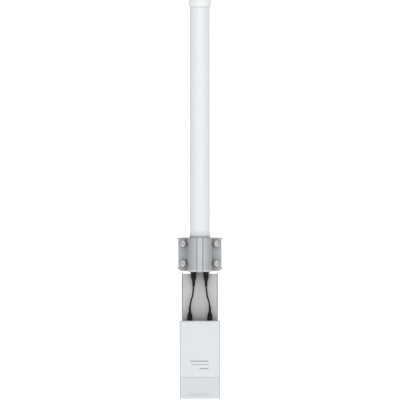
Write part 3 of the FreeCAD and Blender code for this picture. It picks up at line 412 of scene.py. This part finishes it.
def make_bolts():
    """Four bolts, each turned from its dished head to the end of its thread."""
    bm = bmesh.new()
    dish = [(HEAD_FACE + 0.35 * MM, 2.6 * MM), (HEAD_FACE + 0.3 * MM, 3.4 * MM), (HEAD_FACE, 4.2 * MM)]
    head = [(HEAD_FACE, FACE_RADIUS)]
    for rise in (0.15, 0.3, 0.45, 0.6, 0.8, 1.0, 4.9):
        head.append((HEAD_FACE + rise * MM, head_radius))
    head.append((WING_FACE - 0.4 * MM, head_radius))
    collar = [(WING_FACE - 0.3 * MM, COLLAR_RADIUS), (WING_FACE, COLLAR_RADIUS)]
    neck = [(WING_FACE, NECK_RADIUS), (THREAD_START, NECK_RADIUS)]
    thread = []
    length = BOLT_END - THREAD_START
    steps = int(length / THREAD_PITCH * THREAD_STEPS)
    for step in range(1, steps + 1):
        thread.append((THREAD_START + length * step / steps, thread_radius))
    for x in (-BOLT_X, BOLT_X):
        for z in (-BOLT_Z, BOLT_Z):
            stations = dish + head + collar + neck + thread
            rings = turned(bm, (x, 0, z), (0, 1, 0), stations, BOLT_SEGMENTS)
            bm.faces.new(rings[0])
            bm.faces.new(rings[-1])
    made = piece("clamp_bolts_threaded", bm, "antenna", "zinc_steel")
    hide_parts("clamp_bolts")


make_bolts()


# ---- jumper boots and cables --------------------------------------------------------------------

BOOT_BORE, BOOT_LENGTH, CABLE_RADIUS = 4.85 * MM, 28.6, 1.6 * MM
FLUTES, TAIL_RIBS, BOOT_SEGMENTS = 14, 6, 84


def fluted(radius, deep):
    """A round of the given radius with shallow grooves along it."""

    def reach(angle, distance):
        return radius - deep * (0.5 + 0.5 * math.cos(FLUTES * angle)) ** 2

    return reach


def boot_stations(outline, tail_start, thick, thin):
    """The boot's outside from its mouth to its tip: a fluted grip, a cone and a ribbed tail. The
    outline is (distance, radius, groove depth) in millimetres, and so are the tail's sizes."""
    stations = []
    for distance, radius, deep in outline:
        stations.append((distance * MM, fluted(radius * MM, deep * MM)))
    length = (BOOT_LENGTH - tail_start) / TAIL_RIBS
    for rib in range(TAIL_RIBS):
        start = tail_start + rib * length
        shrink = 1 - 0.10 * rib / TAIL_RIBS
        low, high = thin * shrink, thick * shrink
        for part, radius in ((0.05, low), (0.30, low), (0.42, high), (0.90, high)):
            stations.append(((start + part * length) * MM, radius * MM))
    return stations


def make_boot(name, node, x, face, way, outline, tail_start, thick, thin):
    """A boot over the plug on a socket's face. It points up or down, by way, which is 1 or -1."""
    bm = bmesh.new()
    outside = boot_stations(outline, tail_start, thick, thin)
    inside = [
        (28.7 * MM, CABLE_RADIUS + 0.35 * MM),
        (28.7 * MM, CABLE_RADIUS + 0.02 * MM),
        (12.3 * MM, CABLE_RADIUS + 0.62 * MM),
        (12.0 * MM, BOOT_BORE),
        (0.1 * MM, BOOT_BORE),
    ]
    stations = [(way * d, r) for d, r in outside + inside]
    rings = turned(bm, (x, AXIS_Y, face), (0, 0, 1), stations, BOOT_SEGMENTS)
    join(bm, rings[-1], rings[0])
    made = piece(name, bm, "antenna", "boot_rubber")
    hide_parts(node)
    return made


UPPER_BOOT = [
    (0.1, 5.2, 0), (0.5, 5.5, 0), (1.6, 5.5, 0), (2.2, 5.45, 0.3), (5, 5.4, 0.3), (8, 5.35, 0.3),
    (10.2, 5.3, 0.3), (11, 5.25, 0), (12.2, 5.1, 0), (13.4, 4.8, 0), (15, 4.3, 0), (16.6, 3.75, 0),
    (18.2, 3.3, 0), (19.2, 3.1, 0),
]
LOWER_BOOT = [
    (0.1, 5.2, 0), (0.5, 5.5, 0), (1.6, 5.5, 0), (2.2, 5.45, 0.3), (5, 5.25, 0.3), (8, 5.1, 0.25),
    (10.2, 5.0, 0.1), (11.8, 4.9, 0), (12.6, 4.4, 0), (14, 3.7, 0), (15.6, 3.05, 0), (17.4, 2.6, 0),
]

# the jumpers' route points, on the right-hand side
JUMPER_ROUTE = [
    (12.5 * MM, AXIS_Y, -50.0 * MM),
    (12.5 * MM, AXIS_Y, -80.0 * MM),
    (20.0 * MM, AXIS_Y, -99.0 * MM),
    (20.0 * MM, AXIS_Y, -119.8 * MM),
]


def make_jumper(side, sign):
    """A jumper cable from boot to boot. The left one is the right one's mirror image."""
    curve = bpy.data.curves.new("jumper_" + side, "CURVE")
    curve.dimensions = "3D"
    curve.resolution_u = 24
    curve.bevel_depth = CABLE_RADIUS
    curve.bevel_resolution = 8
    curve.use_fill_caps = True
    spline = curve.splines.new("NURBS")
    spline.points.add(len(JUMPER_ROUTE) - 1)
    for point, (x, y, z) in zip(spline.points, JUMPER_ROUTE):
        point.co = (sign * x, y, z, 1.0)
    spline.order_u = 3
    spline.use_endpoint_u = True
    cable = bpy.data.objects.new("jumper_" + side, curve)
    bpy.context.scene.collection.objects.link(cable)
    curve.materials.append(FINISHES["cable_jacket"])
    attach(cable, "antenna")
    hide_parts("jumper_cable_" + side)


for side, sign in (("left", -1), ("right", 1)):
    upper = make_boot(
        f"boot_ribbed_antenna_{side}", f"boot_antenna_{side}", sign * ANTENNA_PORT_X, ANTENNA_FACE, -1,
        UPPER_BOOT, 19.4, 2.9, 2.35,
    )
    lower = make_boot(
        f"boot_ribbed_radio_{side}", f"boot_radio_{side}", sign * RADIO_PORT_X, RADIO_FACE, 1,
        LOWER_BOOT, 17.6, 2.5, 2.05,
    )
    make_jumper(side, sign)


# ---- the radio's blank print --------------------------------------------------------------------

PRINT_THICK, PRINT_END_STEPS = 0.03 * MM, 12


def make_print(name, x_low, x_high, z_mid, tall):
    """A plain bar with round ends, printed on the radio's front."""
    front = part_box("radio_front_shell")[0].y
    bm = bmesh.new()
    half = tall / 2
    outline = []
    for end, start in ((x_high - half, -math.pi / 2), (x_low + half, math.pi / 2)):
        for step in range(PRINT_END_STEPS + 1):
            angle = start + math.pi * step / PRINT_END_STEPS
            outline.append((end + half * math.cos(angle), z_mid + half * math.sin(angle)))
    back = [bm.verts.new((x, front, z)) for x, z in outline]
    face = [bm.verts.new((x, front - PRINT_THICK, z)) for x, z in outline]
    bm.faces.new(back)
    bm.faces.new(face)
    join(bm, back, face)
    made = piece(name, bm, "antenna", "radio_plastic")
    made.data.materials.clear()
    made.data.materials.append(PRINT_INK)


make_print("blank_print_top", -18.7 * MM, 17.3 * MM, -214.2 * MM, 1.5 * MM)
make_print("blank_print_middle", -16.7 * MM, 18.3 * MM, -221.0 * MM, 0.8 * MM)
make_print("blank_print_low", -0.7 * MM, 17.3 * MM, -228.8 * MM, 1.2 * MM)


# ---- finishes on the CAD nodes ------------------------------------------------------------------

FINISHED_NODES = {
    "radome": ["radome_tube"],
    "radome_foot": ["foot_sleeve"],
    "cap_plastic": ["top_cap"],
    "seal_rubber": ["cap_seal"],
    "collar_grey": ["base_collar"],
    "circuit_board": ["vertical_array_board", "horizontal_array_board", "radio_circuit_board"],
    "copper": ["vertical_radiators", "horizontal_radiators"],
    "foam": ["array_spacers"],
    "coax_jacket": ["feed_coax_vertical", "feed_coax_horizontal"],
    "cast_base": ["base_housing", "pole_jaw"],
    "zinc_steel": [
        "clamp_bolts", "jaw_washers", "jaw_lock_washers", "jaw_nuts", "bracket_screws", "shell_screws",
    ],
    "bracket_steel": ["radio_bracket"],
    "radio_plastic": ["radio_front_shell", "radio_rear_shell"],
    "radio_cover": ["port_cover"],
    "tin_shield": ["rf_shield"],
    "jack_plastic": ["ethernet_jack"],
    "gold": ["ethernet_contacts"],
    "button_plastic": ["reset_button", "reset_switch"],
}
METAL_WORDS = ("connector", "plug_", "coupling_nut_")


def finish_of(node):
    for finish, nodes in FINISHED_NODES.items():
        if node in nodes:
            return finish
    if any(word in node for word in METAL_WORDS):
        return "nickel_brass"
    return "boot_rubber" if node.startswith("boot_") else "cable_jacket"


for node, thing in NODES.items():
    thing.data.materials.clear()
    thing.data.materials.append(FINISHES[finish_of(node)])


# ---- floor and light ----------------------------------------------------------------------------

FLOOR_GLOW = 0.79
FLOOR_GAP = 40 * MM
FLOOR_STOPS = (-40, -12, -4, -1.5, -0.5, 0, 0.5, 1.5, 4, 12, 40)


def make_floor():
    """A wide pale floor with a faint glow of its own, so that it stays plain to the horizon. The
    object hangs on a pole above it, with room for the port cover to slide down."""
    bm = bmesh.new()
    level = CAD_BOX[0].z - FLOOR_GAP
    rows = [[bm.verts.new((x, y, level)) for x in FLOOR_STOPS] for y in FLOOR_STOPS]
    for low, high in zip(rows, rows[1:]):
        for step in range(len(FLOOR_STOPS) - 1):
            bm.faces.new((low[step], low[step + 1], high[step + 1], high[step]))
    mesh = bpy.data.meshes.new("floor")
    bm.to_mesh(mesh)
    bm.free()
    floor = bpy.data.objects.new("floor", mesh)
    bpy.context.scene.collection.objects.link(floor)
    pale = surface(
        "studio_floor", (0.85, 0.85, 0.85), 0.7, grain=60, bump=0.0, cloud=2, vary=0.004, level=0.1
    )
    for node in pale.node_tree.nodes:
        if node.type == "BSDF_PRINCIPLED":
            node.inputs["Emission Color"].default_value = (1, 1, 1, 1)
            node.inputs["Emission Strength"].default_value = FLOOR_GLOW
    mesh.materials.append(pale)


def make_light(name, place, aim, wide, tall, watts):
    """A softbox that the camera doesn't see."""
    data = bpy.data.lights.new(name, "AREA")
    data.shape = "RECTANGLE"
    data.size, data.size_y = wide, tall
    data.energy = watts
    light = bpy.data.objects.new(name, data)
    bpy.context.scene.collection.objects.link(light)
    light.location = place
    light.rotation_euler = (Vector(aim) - Vector(place)).to_track_quat("-Z", "Y").to_euler()
    light.visible_camera = False


def make_world(white, open_light, side_light):
    """Seen directly, the backdrop is plain white. As a light it is dimmer, and darkest to both
    sides, so that round parts get their grey edges."""
    world = bpy.data.worlds.new("studio")
    world.use_nodes = True
    tree = world.node_tree
    tree.nodes.clear()

    def background(strength):
        node = tree.nodes.new("ShaderNodeBackground")
        node.inputs["Color"].default_value = (1, 1, 1, 1)
        node.inputs["Strength"].default_value = strength
        return node.outputs[0]

    def mixed(factor, first, second):
        node = tree.nodes.new("ShaderNodeMixShader")
        for source, target in zip((factor, first, second), node.inputs):
            tree.links.new(source, target)
        return node.outputs[0]

    way = tree.nodes.new("ShaderNodeSeparateXYZ")
    tree.links.new(tree.nodes.new("ShaderNodeTexCoord").outputs["Generated"], way.inputs[0])
    sideways = tree.nodes.new("ShaderNodeMath")
    sideways.operation = "ABSOLUTE"
    tree.links.new(way.outputs["X"], sideways.inputs[0])
    dark = tree.nodes.new("ShaderNodeMapRange")
    dark.interpolation_type = "SMOOTHSTEP"
    dark.inputs["From Min"].default_value = 0.45
    dark.inputs["From Max"].default_value = 0.85
    tree.links.new(sideways.outputs[0], dark.inputs["Value"])
    lit = mixed(dark.outputs[0], background(open_light), background(side_light))
    path = tree.nodes.new("ShaderNodeLightPath")
    seen = mixed(path.outputs["Is Camera Ray"], lit, background(white))
    tree.links.new(seen, tree.nodes.new("ShaderNodeOutputWorld").inputs["Surface"])
    bpy.context.scene.world = world


make_floor()
make_world(1.1, 0.34, 0.08)
make_light("front_softbox", (0.25, -3.2, 1.4), (0, AXIS_Y, 0.25), 2.2, 2.0, 27)
make_light("top_softbox", (0, -0.4, 3.5), (0, AXIS_Y, 0), 3.0, 3.0, 40)
make_light("rear_fill", (1.5, 4.0, 1.5), (0, 0, 0), 2.5, 2.5, 20)

bpy.context.scene.view_settings.view_transform = "Standard"
bpy.context.scene.view_settings.look = "None"


# ---- the end ------------------------------------------------------------------------------------

bpy.context.view_layer.update()
